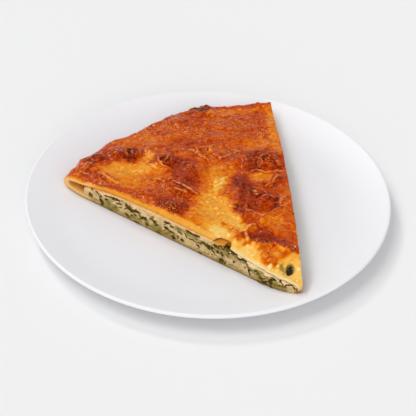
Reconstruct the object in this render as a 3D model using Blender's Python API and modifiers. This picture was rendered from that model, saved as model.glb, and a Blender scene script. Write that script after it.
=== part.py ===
"""A cut slice of Ossetian pie lying on its coupe plate.

Metres, +Z up. The origin is the plate's centre on the surface that it stands on. The slice is one
folded envelope of baked dough, open at its two cuts, with the cheese and greens running through.
"""
import random
from math import ceil, cos, exp, hypot, pi, radians, sin, sqrt

import bmesh
import bpy
from mathutils import Matrix, Vector, noise

MM = 0.001


def in_mm(*rows):
    """Rows of millimetres as rows of metres."""
    return tuple(tuple(value * MM for value in row) for row in rows)


# ---- plate
PLATE_RADIUS = 100 * MM
PLATE_WALL = 3.2 * MM
FOOT_HEIGHT = 1.8 * MM
FOOT_RADIUS = 60 * MM
FOOT_WIDTH = 4 * MM
WELL_RADIUS = 72 * MM
WELL_CURVE = 16 * MM
RIM_SLOPE = 0.33
RIM_LIP = 1.1 * MM
RIM_WALL = 2.9 * MM
PLATE_STEPS = 72

# ---- slice: where it lies and how it was cut
APEX = Vector((49.5 * MM, -80.1 * MM))
RIGHT_CUT = radians(95.2)
FRONT_CUT = radians(145.8)
RIGHT_CUT_BOW = 1.5 * MM
TIP_CUT_OFF = 2.3 * MM
PIE_RADIUS = 162.6 * MM
# how far the edge stands out, by its share of the way from the right cut to the front cut
RIM_WAVES = ((0.0, 2.0 * MM), (0.16, 3.0 * MM), (0.23, 4.8 * MM), (0.28, 6.0 * MM), (0.39, 5.1 * MM),
             (0.49, 1.7 * MM), (0.62, -1.7 * MM), (0.72, -0.8 * MM), (0.81, -3.3 * MM), (0.87, -2.4 * MM),
             (0.94, -5.0 * MM), (1.0, -5.7 * MM))

# ---- slice: thickness, as (distance, height)
RISE_FROM_RIM = in_mm((0, 9.4), (6, 9.9), (13, 10.7), (24, 12.0), (43, 13.3), (60, 14.0))
RISE_FROM_TIP = in_mm((3, 7.6), (12, 10.9), (26, 13.0), (50, 14.0))
RISE_AT_FRONT = in_mm((3, 6.2), (10, 7.4), (18, 8.8), (25, 9.8), (32, 10.8), (38, 11.8), (45, 13.0),
                      (56, 14.2), (115, 14.2), (124, 13.0), (132, 10.9), (140, 9.2), (147, 8.4), (156, 7.2))
FRONT_SAG_WIDTH = 9.2 * MM
EDGE_ROUND = 3.4 * MM
TIP_ROUND = 2.6 * MM
WIDEST_LEVEL = 0.42
GAP = 0.3 * MM
CRUST_TOP = 2.0 * MM
CRUST_BOTTOM = 1.8 * MM
CRUST_RIM = 3.6 * MM
RIM_THICKENING = 1.3 * MM
RIM_THICKENING_REACH = 8 * MM
AIR_POCKET = 14 * MM
TIP_WALL = 1.8 * MM
INNER_TIP_ROUND = 1.2 * MM
INNER_RIM_ROUND = 1.5 * MM

# ---- baked relief on the top: (x, y, radius, lift), and for ridges (x0, y0, x1, y1, half width, lift)
BUBBLES = in_mm((-4, 71.5, 5, 2.0), (-19, 61.5, 6, 1.1), (-55, 27.5, 8, 1.4), (-63, 18.5, 5, 1.0),
                (-43, 21.5, 5, 1.4), (-23, 18.5, 6, 1.3), (29, -13, 9, 2.0), (21, -47, 4, 1.3),
                (28, -46, 5, 1.2), (41, -54, 6, 1.2), (2, 31.5, 4, 1.0), (42, -7, 5, 1.0),
                (33, -37, 6, 0.7))
HOLLOWS = in_mm((-46, 8.5, 11, -0.8), (-1, -17, 7, -0.7), (10, -29, 9, -0.8), (26, 38.5, 9, -0.5))
RIDGES = in_mm((-19, 26.5, -9, 8.5, 4.5, 1.6), (-9, 8.5, -14, -4, 4.5, 1.2),
               (-19, -4, -6, -13, 2.5, 0.9), (-28, -16, -9, -28, 6, 1.3), (18, 19.5, 38, 25.5, 5, 1.4),
               (18, -2, 21, -30, 4, 1.2))
WRINKLE_SIZE = 9 * MM
WRINKLE_LIFT = 0.35 * MM

# ---- tears in the top
NOTCH_AT = 50.3 * MM
NOTCH_HALF_WIDTH = 5.2 * MM
NOTCH_DEPTH = 4.8 * MM
HOLE_CENTRE = Vector((42.8 * MM, -67.8 * MM))
HOLE_HALF_SIZE = (1.7 * MM, 3.0 * MM)
TEAR_REACH = 14 * MM
TEAR_SEGMENTS = 18
CUTTER_OVERSHOOT = 3 * MM

# ---- filling: its cut face
FILLING_FIRST = TIP_CUT_OFF + TIP_WALL + 0.4 * MM
FILLING_CLEARANCE = 0.5 * MM
FACE_ROUGHNESS = 0.45 * MM
FACE_LUMP_SIZE = 5 * MM
FACE_SET_BACK = 0.5 * MM

# ---- filling: the pieces that show at each cut; a level is a share of the filling's height
PIECES_FROM_TIP = 18 * MM
PIECES_FROM_POCKET = 8 * MM
PIECES_SEED = 7
SHREDS = 26
SHRED_LEVELS = (0.35, 0.75)
SHRED_LENGTHS = (3.5 * MM, 7.5 * MM)
SHRED_HEIGHTS = (0.7 * MM, 1.4 * MM)
SHRED_WAVES = (0.1 * MM, 0.4 * MM)
SHRED_TILT = radians(18)
SHRED_SUNK = 0.35 * MM
SHRED_STANDS_OUT = 0.4 * MM
STEMS = 7
STEM_LEVELS = (0.22, 0.34)
STEM_LENGTHS = (3.5 * MM, 6 * MM)
STEM_RADII = (0.6 * MM, 0.9 * MM)
STEM_TILT = radians(10)
CURDS = 8
CURD_LEVELS = (0.3, 0.7)
CURD_RADII = (1.3 * MM, 1.9 * MM)
CURD_TILT = radians(20)

# ---- mesh fineness
TOP_CELL = 3.7 * MM
BOTTOM_CELL = 7.5 * MM
INNER_CELL = 4.6 * MM
INNER_ACROSS = 7.0 * MM
FILLING_ACROSS = 10.5 * MM
FACE_LEVELS = 3
EDGE_ROWS = 4

WEDGE = FRONT_CUT - RIGHT_CUT
HALF_WEDGE = WEDGE / 2
MIDLINE = (RIGHT_CUT + FRONT_CUT) / 2


def clear_scene():
    """Remove every object, so that only the pie is there."""
    for thing in list(bpy.data.objects):
        bpy.data.objects.remove(thing, do_unlink=True)


def new_collection(name):
    """A new collection in the scene."""
    collection = bpy.data.collections.new(name)
    bpy.context.scene.collection.children.link(collection)
    return collection


def new_material(name, colour, roughness):
    """A Principled material with no metal in it."""
    material = bpy.data.materials.new(name)
    material.use_nodes = True
    shader = material.node_tree.nodes["Principled BSDF"]
    shader.inputs["Base Color"].default_value = (*colour, 1)
    shader.inputs["Roughness"].default_value = roughness
    shader.inputs["Metallic"].default_value = 0.0
    return material


def object_from(bm, name, collection):
    """Turn an edit mesh into an object in the collection."""
    mesh = bpy.data.meshes.new(name)
    bm.to_mesh(mesh)
    bm.free()
    thing = bpy.data.objects.new(name, mesh)
    collection.objects.link(thing)
    return thing


def through(points, x):
    """The value at x of a smooth curve through the points."""
    if x <= points[0][0]:
        return points[0][1]
    for (x0, y0), (x1, y1) in zip(points, points[1:]):
        if x <= x1:
            part = (x - x0) / (x1 - x0)
            return y0 + (y1 - y0) * part * part * (3 - 2 * part)
    return points[-1][1]


# ---------------------------------------------------------------- plate

def plate_height(radius):
    """The plate's upper surface: a flat well, a soft bend and a straight sloping rim."""
    well = FOOT_HEIGHT + PLATE_WALL
    out = radius - WELL_RADIUS
    if out <= 0:
        return well
    if out <= WELL_CURVE:
        return well + RIM_SLOPE * out * out / (2 * WELL_CURVE)
    return well + RIM_SLOPE * (out - WELL_CURVE / 2)


def plate_profile():
    """Half the plate's section, from the middle of the well over the rim to the middle below."""
    points = [(WELL_RADIUS * share, plate_height(0)) for share in (0, 0.45, 0.85)]
    for share in (0, 0.25, 0.5, 0.75, 1):
        radius = WELL_RADIUS + WELL_CURVE * share
        points.append((radius, plate_height(radius)))
    rim = PLATE_RADIUS - RIM_LIP
    points.append((rim, plate_height(rim)))
    for turn in (radians(60), radians(10), radians(-50)):
        points.append((rim + RIM_LIP * cos(turn), plate_height(rim) - RIM_LIP + RIM_LIP * sin(turn)))
    rim_starts = WELL_RADIUS + WELL_CURVE
    points.append((rim_starts, plate_height(rim_starts) - RIM_WALL))
    points.append((WELL_RADIUS, plate_height(WELL_RADIUS) - PLATE_WALL))
    points.append((FOOT_RADIUS + FOOT_HEIGHT / 2, FOOT_HEIGHT))
    points.append((FOOT_RADIUS, 0))
    points.append((FOOT_RADIUS - FOOT_WIDTH, 0))
    points.append((FOOT_RADIUS - FOOT_WIDTH - FOOT_HEIGHT / 2, FOOT_HEIGHT))
    points.append((0, FOOT_HEIGHT))
    return points


def make_plate(collection):
    """Turn the section into the glazed porcelain plate."""
    bm = bmesh.new()
    corners = [bm.verts.new((radius, 0, height)) for radius, height in plate_profile()]
    for upper, lower in zip(corners, corners[1:]):
        bm.edges.new((upper, lower))
    plate = object_from(bm, "plate", collection)
    turn = plate.modifiers.new("turn", "SCREW")
    turn.steps = turn.render_steps = PLATE_STEPS
    turn.use_merge_vertices = True
    turn.merge_threshold = 0.00001
    turn.use_smooth_shade = True
    plate.data.materials.append(new_material("glazed_porcelain", (0.86, 0.87, 0.88), 0.15))
    return plate


# ---------------------------------------------------------------- the slice's form

def pie_reach(across):
    """Distance from the apex to the pie's edge, from the right cut (0) to the front cut (1)."""
    return PIE_RADIUS + through(RIM_WAVES, across)


def plan(along, across, margin=0.0):
    """A point of the slice seen from above; a margin moves both cuts outwards, side by side."""
    turned = RIGHT_CUT + across * WEDGE
    shift = margin / sin(HALF_WEDGE)
    off_middle = turned - MIDLINE
    reach = shift * cos(off_middle) + sqrt(along * along - (shift * sin(off_middle)) ** 2)
    start = APEX - Vector((cos(MIDLINE), sin(MIDLINE))) * shift
    place = start + Vector((cos(turned), sin(turned))) * reach
    share = min(1.0, along / PIE_RADIUS)
    bow = RIGHT_CUT_BOW * 4 * share * (1 - share) * (1 - across)
    return place + Vector((sin(RIGHT_CUT), -cos(RIGHT_CUT))) * bow


def underside(place):
    """Height of the slice's lower face, which lies on the plate."""
    return plate_height(place.length) + GAP


def thickness(along, across):
    """Height of the slice without its relief, low at the rim, the tip and the torn front edge."""
    inside = through(RISE_FROM_TIP, along)
    at_front = through(RISE_AT_FRONT, along)
    from_front = along * sin((1 - across) * WEDGE)
    sag = exp(-(from_front / FRONT_SAG_WIDTH) ** 2)
    body = inside + (at_front - inside) * sag
    return min(body, through(RISE_FROM_RIM, pie_reach(across) - along))


def line_distance(x, y, x0, y0, x1, y1):
    """Distance in plan from a point to a stretch of line."""
    dx, dy = x1 - x0, y1 - y0
    share = max(0.0, min(1.0, ((x - x0) * dx + (y - y0) * dy) / (dx * dx + dy * dy)))
    return hypot(x - x0 - share * dx, y - y0 - share * dy)


def relief(place):
    """What baking added to the top: bubbles, ridges and hollows over fine wrinkles."""
    x, y = place
    lift = noise.noise(Vector((x, y, 0)) / WRINKLE_SIZE) * WRINKLE_LIFT
    for cx, cy, radius, height in BUBBLES + HOLLOWS:
        lift += height * exp(-(hypot(x - cx, y - cy) / radius) ** 2)
    for x0, y0, x1, y1, width, height in RIDGES:
        lift += height * exp(-(line_distance(x, y, x0, y0, x1, y1) / width) ** 2)
    return lift


def edge_fullness(inwards, rounding):
    """1 away from an edge, falling to 0 at it along a quarter circle."""
    if inwards >= rounding:
        return 1.0
    return sqrt(max(0.0, 1 - (1 - inwards / rounding) ** 2))


def crust_point(along, across, upper):
    """A point of the dough's outer skin, rounded over at the rim and at the tip."""
    place = plan(along, across)
    low = underside(place)
    high = low + thickness(along, across)
    full = min(edge_fullness(pie_reach(across) - along, EDGE_ROUND),
               edge_fullness(along - TIP_CUT_OFF, TIP_ROUND))
    middle = low + (high - low) * WIDEST_LEVEL
    if upper:
        return Vector((*place, middle + (high + relief(place) - middle) * full))
    return Vector((*place, middle - (middle - low) * full))


def inner_levels(place, along, across):
    """The dough's inner faces, which thicken towards the closed rim."""
    thicker = RIM_THICKENING * exp((along - pie_reach(across)) / RIM_THICKENING_REACH)
    low = underside(place)
    high = low + thickness(along, across)
    return low + CRUST_BOTTOM + thicker, high - CRUST_TOP - thicker


def inner_point(along, across, upper, inset, first, last, margin):
    """A point of the space in the dough, or of what fills it when it is inset."""
    place = plan(along, across, margin)
    low, high = inner_levels(place, along, across)
    low, high = low + inset, high - inset
    full = min(edge_fullness(last - along, INNER_RIM_ROUND), edge_fullness(along - first, INNER_TIP_ROUND))
    middle = (low + high) / 2
    return Vector((*place, middle + (high - middle) * full * (1 if upper else -1)))


def row_shares(first, last, rounding_first, rounding_last, cell):
    """Where rows lie, as shares of the way from first to last: they crowd where an end is rounded."""
    crowding = [1 - cos(pi / 2 * step / EDGE_ROWS) for step in range(EDGE_ROWS)]
    start, end = first + rounding_first, last - rounding_last
    count = ceil((end - start) / cell)
    found = [first + rounding_first * part for part in crowding]
    found += [start + (end - start) * step / count for step in range(count + 1)]
    found += [last - rounding_last * part for part in reversed(crowding)]
    return [(distance - first) / (last - first) for distance in found]


def stitch(bm, row, other):
    """Fill the strip between two rows whose counts may differ."""
    i = j = 0
    steps, other_steps = len(row) - 1, len(other) - 1
    while i < steps or j < other_steps:
        behind = (i + 1) * other_steps <= (j + 1) * steps
        if j == other_steps or (i < steps and behind):
            corners = (row[i], row[i + 1], other[j])
            i += 1
        else:
            corners = (row[i], other[j + 1], other[j])
            j += 1
        if len(set(corners)) == 3:
            bm.faces.new(corners)


def wedge_mesh(point, shares_upper, shares_lower, reach, cells, levels=1, face_point=None):
    """A closed wedge between an upper and a lower sheet that meet at the rim and at the tip.

    Rows run across the slice. Their places are shares of the way from the tip to the rim, and the
    number of columns follows the slice's width there. The cuts are filled in the given levels.
    """
    bm = bmesh.new()

    def row(share, upper, cell):
        """Points across the slice at one share of its length."""
        width = max(reach(share, 0.5) * WEDGE, cell)
        count = max(2, ceil(width / cell))
        return [bm.verts.new(point(reach(share, k / count), k / count, upper)) for k in range(count + 1)]

    top = [row(share, True, cells[0]) for share in shares_upper]
    bottom = [row(share, False, cells[1]) for share in shares_lower[1:-1]]
    bottom = [top[0]] + bottom + [top[-1]]
    for sheet in (top, bottom):
        for near, far in zip(sheet, sheet[1:]):
            stitch(bm, near, far)
    for side in (0, -1):
        chains = [[line[side] for line in bottom]]
        for level in range(1, levels):
            inner = []
            for share in shares_upper[1:-1]:
                inner.append(bm.verts.new(face_point(reach(share, -side), -side, level / levels)))
            chains.append([top[0][side]] + inner + [top[-1][side]])
        chains.append([line[side] for line in top])
        for lower, upper in zip(chains, chains[1:]):
            stitch(bm, lower, upper)
    bmesh.ops.recalc_face_normals(bm, faces=bm.faces)
    return bm


# ---------------------------------------------------------------- crust

def cavity(collection):
    """The space in the dough: it runs out through both cuts and stops short of rim and tip."""
    first = TIP_CUT_OFF + TIP_WALL

    def reach(share, across):
        """Distance from the apex at a share of the space's length."""
        return first + (pie_reach(across) - CRUST_RIM - first) * share

    def point(along, across, upper):
        """A point of the space's skin, taken out past both cuts."""
        last = pie_reach(across) - CRUST_RIM
        return inner_point(along, across, upper, 0.0, first, last, CUTTER_OVERSHOOT)

    rows = row_shares(first, PIE_RADIUS - CRUST_RIM, INNER_TIP_ROUND, INNER_RIM_ROUND, INNER_CELL)
    bm = wedge_mesh(point, rows, rows, reach, (INNER_ACROSS, INNER_ACROSS))
    return object_from(bm, "dough_space", collection)


def tear(name, centre, half_size, turned, floor, collection):
    """An upright cutter with an oval outline, from its floor in the filling to above the crust."""
    bm = bmesh.new()
    bmesh.ops.create_cone(bm, cap_ends=True, segments=TEAR_SEGMENTS, radius1=1, radius2=1, depth=1)
    scale = Matrix.Diagonal((*half_size, TEAR_REACH, 1))
    place = Matrix.Translation((*centre, floor + TEAR_REACH / 2)) @ Matrix.Rotation(turned, 4, "Z")
    bmesh.ops.transform(bm, matrix=place @ scale, verts=bm.verts)
    return object_from(bm, name, collection)


def make_crust(collection, cutters):
    """The folded envelope of dough, hollowed for the filling and torn open in two places."""
    def reach(share, across):
        """Distance from the apex at a share of the slice's length."""
        return TIP_CUT_OFF + (pie_reach(across) - TIP_CUT_OFF) * share

    upper = row_shares(TIP_CUT_OFF, PIE_RADIUS, TIP_ROUND, EDGE_ROUND, TOP_CELL)
    lower = row_shares(TIP_CUT_OFF, PIE_RADIUS, TIP_ROUND, EDGE_ROUND, BOTTOM_CELL)
    bm = wedge_mesh(crust_point, upper, lower, reach, (TOP_CELL, BOTTOM_CELL))
    crust = object_from(bm, "crust", collection)
    crust.data.materials.append(new_material("baked_dough", (0.62, 0.22, 0.03), 0.4))

    notch = plan(NOTCH_AT, 1.0)
    notch_floor = sum(inner_levels(notch, NOTCH_AT, 1.0)) / 2
    hole_along = (HOLE_CENTRE - APEX).length
    hole_floor = sum(inner_levels(HOLE_CENTRE, hole_along, 0.5)) / 2
    cavity(cutters)
    tear("notch", notch, (NOTCH_HALF_WIDTH, NOTCH_DEPTH), FRONT_CUT, notch_floor, cutters)
    tear("hole", HOLE_CENTRE, HOLE_HALF_SIZE, 0.0, hole_floor, cutters)
    for cutter in cutters.objects:
        cutter.hide_render = True
        cutter.display_type = "WIRE"
    opened = crust.modifiers.new("open", "BOOLEAN")
    opened.operation = "DIFFERENCE"
    opened.solver = "EXACT"
    opened.operand_type = "COLLECTION"
    opened.collection = cutters
    return crust


# ---------------------------------------------------------------- filling

def filling_reach(share, across):
    """Distance from the apex at a share of the filling's length."""
    return FILLING_FIRST + (pie_reach(across) - AIR_POCKET - FILLING_FIRST) * share


def filling_point(along, across, upper):
    """A point of the filling's skin, just clear of the dough and a little behind both cuts."""
    last = pie_reach(across) - AIR_POCKET
    return inner_point(along, across, upper, FILLING_CLEARANCE, FILLING_FIRST, last, -FACE_SET_BACK)


def out_of_cut(across):
    """The level direction that points straight out of one of the cuts."""
    turned = FRONT_CUT + pi / 2 if across else RIGHT_CUT - pi / 2
    return Vector((cos(turned), sin(turned), 0))


def face_point(along, across, level):
    """A point of the cut filling, which stands a little in and out of the cut."""
    low = filling_point(along, across, False)
    high = filling_point(along, across, True)
    point = low.lerp(high, level)
    push = noise.noise(point / FACE_LUMP_SIZE) * FACE_ROUGHNESS
    return point + out_of_cut(across) * push


def face_frame(along, across, level, tilt):
    """A matrix on a cut face: X along the cut, Y out of it, Z up, tilted in the face's plane."""
    point = face_point(along, across, level)
    ahead = filling_point(along + MM, across, False) - filling_point(along, across, False)
    forward = Vector((ahead.x, ahead.y, 0)).normalized()
    axes = Matrix((forward, out_of_cut(across), Vector((0, 0, 1)))).transposed().to_4x4()
    return Matrix.Translation(point) @ axes @ Matrix.Rotation(tilt, 4, "Y")


def shred(frame, length, height, wave):
    """A wavy strip of leaf that lies along the cut."""
    bm = bmesh.new()
    sections = []
    for step in range(4):
        share = step / 3 - 0.5
        lift = wave * sin(share * 5)
        half = height / 2 * (1 - 1.2 * share * share)
        corners = ((-SHRED_SUNK, -half), (SHRED_STANDS_OUT, -half),
                   (SHRED_STANDS_OUT, half), (-SHRED_SUNK, half))
        sections.append([bm.verts.new((share * length, out, lift + up)) for out, up in corners])
    for near, far in zip(sections, sections[1:]):
        for k in range(4):
            bm.faces.new((near[k], near[(k + 1) % 4], far[(k + 1) % 4], far[k]))
    bm.faces.new(sections[0][::-1])
    bm.faces.new(sections[-1])
    bmesh.ops.recalc_face_normals(bm, faces=bm.faces)
    bmesh.ops.triangulate(bm, faces=bm.faces)
    bmesh.ops.transform(bm, matrix=frame, verts=bm.verts)
    return bm


def stem(frame, length, radius):
    """A chopped stem, a little thinner at one end, that lies along the cut."""
    bm = bmesh.new()
    bmesh.ops.create_cone(bm, cap_ends=True, segments=7, radius1=radius, radius2=radius * 0.85,
                          depth=length)
    bmesh.ops.transform(bm, matrix=frame @ Matrix.Rotation(pi / 2, 4, "Y"), verts=bm.verts)
    return bm


def curd(frame, radius):
    """A flattened lump of cheese."""
    bm = bmesh.new()
    bmesh.ops.create_icosphere(bm, subdivisions=1, radius=radius)
    bmesh.ops.transform(bm, matrix=frame @ Matrix.Diagonal((1.5, 0.45, 0.8, 1)), verts=bm.verts)
    return bm


def cut_pieces(across, rng):
    """The shreds, stems and curds that show at one cut, spread evenly along it."""
    first, last = PIECES_FROM_TIP, pie_reach(across) - AIR_POCKET - PIECES_FROM_POCKET

    def frame(number, count, levels, tilt):
        """A place for one of so many pieces, within its own stretch of the cut."""
        along = first + (last - first) * (number + rng.uniform(0.15, 0.85)) / count
        return face_frame(along, across, rng.uniform(*levels), rng.uniform(-tilt, tilt))

    pieces = []
    for number in range(SHREDS):
        place = frame(number, SHREDS, SHRED_LEVELS, SHRED_TILT)
        sizes = [rng.uniform(*limits) for limits in (SHRED_LENGTHS, SHRED_HEIGHTS, SHRED_WAVES)]
        pieces.append(shred(place, *sizes))
    for number in range(STEMS):
        place = frame(number, STEMS, STEM_LEVELS, STEM_TILT)
        pieces.append(stem(place, rng.uniform(*STEM_LENGTHS), rng.uniform(*STEM_RADII)))
    for number in range(CURDS):
        place = frame(number, CURDS, CURD_LEVELS, CURD_TILT)
        pieces.append(curd(place, rng.uniform(*CURD_RADII)))
    return pieces


def make_filling(collection):
    """Cheese with chopped greens: one body, with the pieces that show at both cuts joined on."""
    rows = row_shares(FILLING_FIRST, PIE_RADIUS - AIR_POCKET, INNER_TIP_ROUND, INNER_RIM_ROUND, INNER_CELL)
    bm = wedge_mesh(filling_point, rows, rows, filling_reach, (FILLING_ACROSS, FILLING_ACROSS),
                    levels=FACE_LEVELS, face_point=face_point)
    filling = object_from(bm, "filling", collection)
    filling.data.materials.append(new_material("cheese_and_greens", (0.62, 0.52, 0.24), 0.55))

    rng = random.Random(PIECES_SEED)
    loose = new_collection("loose_pieces")
    for across in (0, 1):
        for number, bm in enumerate(cut_pieces(across, rng)):
            object_from(bm, f"loose_{across}_{number}", loose)
    union = filling.modifiers.new("pieces", "BOOLEAN")
    union.operation = "UNION"
    union.solver = "EXACT"
    union.operand_type = "COLLECTION"
    union.collection = loose
    evaluated = filling.evaluated_get(bpy.context.evaluated_depsgraph_get())
    joined = bpy.data.meshes.new_from_object(evaluated)
    filling.modifiers.clear()
    filling.data = joined
    for thing in list(loose.objects):
        bpy.data.objects.remove(thing, do_unlink=True)
    bpy.data.collections.remove(loose)
    return filling


clear_scene()
pie = new_collection("ossetian_pie")
tools = new_collection("cutters")
make_plate(pie)
make_crust(pie, tools)
make_filling(pie)
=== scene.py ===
from math import cos, hypot, pi, radians, sin

import bpy
import numpy as np
from mathutils import Matrix, Vector, noise
from mathutils.bvhtree import BVHTree


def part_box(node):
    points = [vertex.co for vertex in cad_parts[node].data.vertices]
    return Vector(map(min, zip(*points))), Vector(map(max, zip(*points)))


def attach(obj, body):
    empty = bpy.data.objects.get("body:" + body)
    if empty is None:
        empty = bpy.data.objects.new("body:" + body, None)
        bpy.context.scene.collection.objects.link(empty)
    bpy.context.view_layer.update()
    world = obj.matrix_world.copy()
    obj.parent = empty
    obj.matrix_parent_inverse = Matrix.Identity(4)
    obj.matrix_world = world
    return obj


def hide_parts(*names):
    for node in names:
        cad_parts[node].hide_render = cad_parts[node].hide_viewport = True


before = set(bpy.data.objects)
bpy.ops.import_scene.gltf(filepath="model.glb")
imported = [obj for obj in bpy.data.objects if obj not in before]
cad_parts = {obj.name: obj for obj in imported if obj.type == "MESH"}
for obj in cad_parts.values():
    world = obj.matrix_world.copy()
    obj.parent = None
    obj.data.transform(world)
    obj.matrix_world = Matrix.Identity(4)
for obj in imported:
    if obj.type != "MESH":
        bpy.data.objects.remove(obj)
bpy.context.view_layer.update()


# ---- Plate ---------------------------------------------------------------
# A plain white coupe plate, 200 mm across, of glazed porcelain. It is turned in one piece: a flat
# well, a soft curve up into a straight flared rim with a rounded lip, and a foot ring that is wiped
# free of glaze before the firing.
mm = 0.001
plate_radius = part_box("plate")[1].x
well_radius, well_level = 72 * mm, 5 * mm
curve_run, rim_slope = 16 * mm, 0.33
lip = 1.1 * mm
wall, rim_wall = 3.2 * mm, 2.9 * mm
foot_outer, foot_inner, foot_height, foot_edge = 60.9 * mm, 55.1 * mm, 1.8 * mm, 0.8 * mm
foot_fillet, foot_step = 1.5 * mm, 0.2 * mm
curve_steps, lip_steps, under_steps, plate_turns = 14, 8, 8, 180


def plate_level(radius):
    """Height of the plate's upper face at a distance from its middle."""
    out = max(0, radius - well_radius)
    if out < curve_run:
        return well_level + rim_slope * out * out / (2 * curve_run)
    return well_level + rim_slope * (out - curve_run / 2)


profile = [(radius * mm, well_level) for radius in (0, 18, 36, 52, 64)]
rim_end = plate_radius - lip
for radius in [well_radius + curve_run * step / curve_steps for step in range(curve_steps + 1)]:
    profile.append((radius, plate_level(radius)))
profile.append((rim_end - 0.5 * mm, plate_level(rim_end - 0.5 * mm)))
for step in range(lip_steps + 1):
    swing = radians(100 - 190 * step / lip_steps)
    profile.append((rim_end + lip * cos(swing), plate_level(rim_end) - lip + lip * sin(swing)))
profile += [(radius * mm, plate_level(radius * mm) - rim_wall) for radius in (96, 92, 88)]
for step in range(under_steps - 1, -1, -1):
    radius = well_radius + curve_run * step / under_steps
    profile.append((radius, plate_level(radius) - wall + (wall - rim_wall) * step / under_steps))
foot_side = [(foot_fillet, foot_height), (0, foot_height - foot_step), (-foot_edge / 2, foot_edge / 2),
             (-foot_edge, 0)]
profile += [(foot_outer + out, level) for out, level in foot_side]
profile += [(foot_inner - out, level) for out, level in reversed(foot_side)]
profile += [(30 * mm, foot_height), (0, foot_height)]

bpy.ops.object.select_all(action="DESELECT")
bpy.ops.mesh.primitive_plane_add(size=2 * mm, location=(0, 0, 0))
plate = bpy.context.object
plate.name = plate.data.name = "porcelain_plate"
bpy.ops.object.mode_set(mode="EDIT")
bpy.ops.mesh.select_mode(type="VERT")
bpy.ops.mesh.merge(type="CENTER")
bpy.ops.transform.translate(value=(0, 0, well_level))
for (radius, level), (next_radius, next_level) in zip(profile, profile[1:]):
    bpy.ops.mesh.extrude_region_move(
        TRANSFORM_OT_translate={"value": (next_radius - radius, 0, next_level - level)})
bpy.ops.mesh.select_all(action="SELECT")
bpy.ops.mesh.spin(steps=plate_turns, angle=2 * pi, center=(0, 0, 0), axis=(0, 0, 1))
bpy.ops.mesh.select_all(action="SELECT")
bpy.ops.mesh.remove_doubles(threshold=0.01 * mm)
bpy.ops.mesh.normals_make_consistent(inside=False)
bpy.ops.object.mode_set(mode="OBJECT")
bpy.ops.object.shade_smooth_by_angle(angle=radians(40))


def new_finish(name, roughness, specular=0.5):
    """An empty finish with its tree, its shader and its object coordinates."""
    finish = bpy.data.materials.new(name)
    finish.use_nodes = True
    tree = finish.node_tree
    shader = tree.nodes["Principled BSDF"]
    shader.inputs["Roughness"].default_value = roughness
    shader.inputs["Specular IOR Level"].default_value = specular
    place = tree.nodes.new("ShaderNodeTexCoord").outputs["Object"]
    return finish, tree, shader, place


def add_noise(tree, place, size, detail=2, distortion=0):
    """A noise whose lumps are about this size across."""
    lumps = tree.nodes.new("ShaderNodeTexNoise")
    lumps.inputs["Scale"].default_value = 1 / size
    lumps.inputs["Detail"].default_value = detail
    lumps.inputs["Distortion"].default_value = distortion
    tree.links.new(place, lumps.inputs["Vector"])
    return lumps.outputs["Fac"]


def add_sum(tree, operation, first, second, clamp=False):
    """One step of arithmetic between sockets or numbers."""
    step = tree.nodes.new("ShaderNodeMath")
    step.operation = operation
    step.use_clamp = clamp
    for socket, value in zip(step.inputs, (first, second)):
        if isinstance(value, (int, float)):
            socket.default_value = value
        else:
            tree.links.new(value, socket)
    return step.outputs["Value"]


def add_height(tree, place):
    """The height above the table."""
    parts = tree.nodes.new("ShaderNodeSeparateXYZ")
    tree.links.new(place, parts.inputs["Vector"])
    return parts.outputs["Z"]


def add_range(tree, value, low, high, to_low, to_high):
    """A value spread from one range to another, held at both ends."""
    spread = tree.nodes.new("ShaderNodeMapRange")
    for name, number in (("From Min", low), ("From Max", high), ("To Min", to_low), ("To Max", to_high)):
        spread.inputs[name].default_value = number
    tree.links.new(value, spread.inputs["Value"])
    return spread.outputs["Result"]


def photo_colour(red, green, blue):
    """A colour given on the 0 to 255 scale, as the linear colour that a shader takes."""
    shares = [part / 255 for part in (red, green, blue)]
    return [share / 12.92 if share < 0.04045 else ((share + 0.055) / 1.055) ** 2.4 for share in shares] + [1]


def add_ramp(tree, value, stops):
    """Colours along a value: each stop is its place and its colour on the 0 to 255 scale."""
    ramp = tree.nodes.new("ShaderNodeValToRGB")
    tree.links.new(value, ramp.inputs["Fac"])
    marks = ramp.color_ramp.elements
    while len(marks) < len(stops):
        marks.new(0.5)
    for mark, (where, colour) in zip(marks, stops):
        mark.position = where
        mark.color = photo_colour(*colour)
    return ramp.outputs["Color"]


def add_mix(tree, share, first, second):
    """One colour fading into another; each is a socket or a colour on the 0 to 255 scale."""
    mix = tree.nodes.new("ShaderNodeMix")
    mix.data_type = "RGBA"
    tree.links.new(share, mix.inputs["Factor"])
    for socket, colour in ((mix.inputs[6], first), (mix.inputs[7], second)):
        if isinstance(colour, tuple):
            socket.default_value = photo_colour(*colour)
        else:
            tree.links.new(colour, socket)
    return mix.outputs[2]


def add_bump(tree, shader, height, strength, distance, below=None):
    """Relief finer than the mesh, on top of the bump below it."""
    bump = tree.nodes.new("ShaderNodeBump")
    bump.inputs["Strength"].default_value = strength
    bump.inputs["Distance"].default_value = distance
    tree.links.new(height, bump.inputs["Height"])
    if below:
        tree.links.new(below, bump.inputs["Normal"])
    tree.links.new(bump.outputs["Normal"], shader.inputs["Normal"])
    return bump.outputs["Normal"]


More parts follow.
